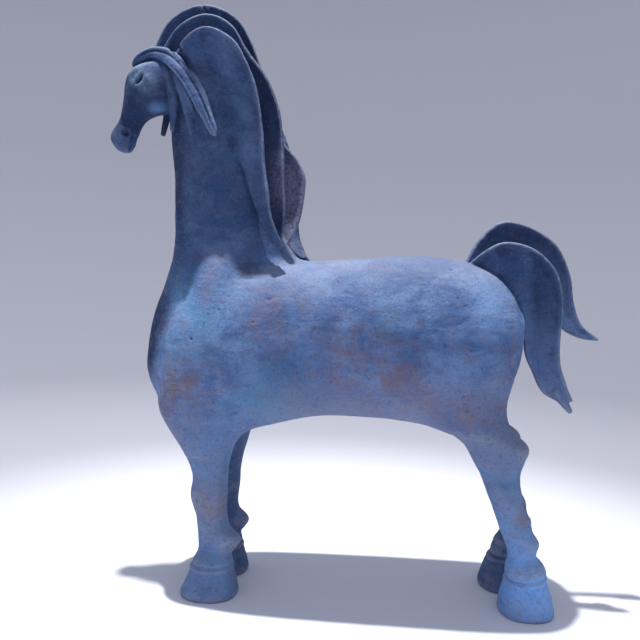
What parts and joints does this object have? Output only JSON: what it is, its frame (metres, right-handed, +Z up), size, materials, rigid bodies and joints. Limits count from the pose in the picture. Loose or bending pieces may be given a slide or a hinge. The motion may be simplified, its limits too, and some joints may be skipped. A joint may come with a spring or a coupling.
{
  "type": "painted ceramic horse figure",
  "caption": "Standing horse in blue-painted fired clay, with a barrel body, tall neck, leaf-like mane and tail slabs, combed forelock and wide flat-soled hooves.",
  "frame": {"origin": "on the ground under the middle of the figure's bounding box", "axes": "+Z up; length along X with the head at -X and the tail at +X; the horse's left side faces -Y"},
  "size_m": [0.4933, 0.141, 0.582],
  "materials": {
    "painted_clay": "matt blue paint, patchy and worn, over coarse orange-brown fired clay"
  },
  "bodies": {
    "root": {"horse_figure": "painted_clay"}
  },
  "joints": []
}
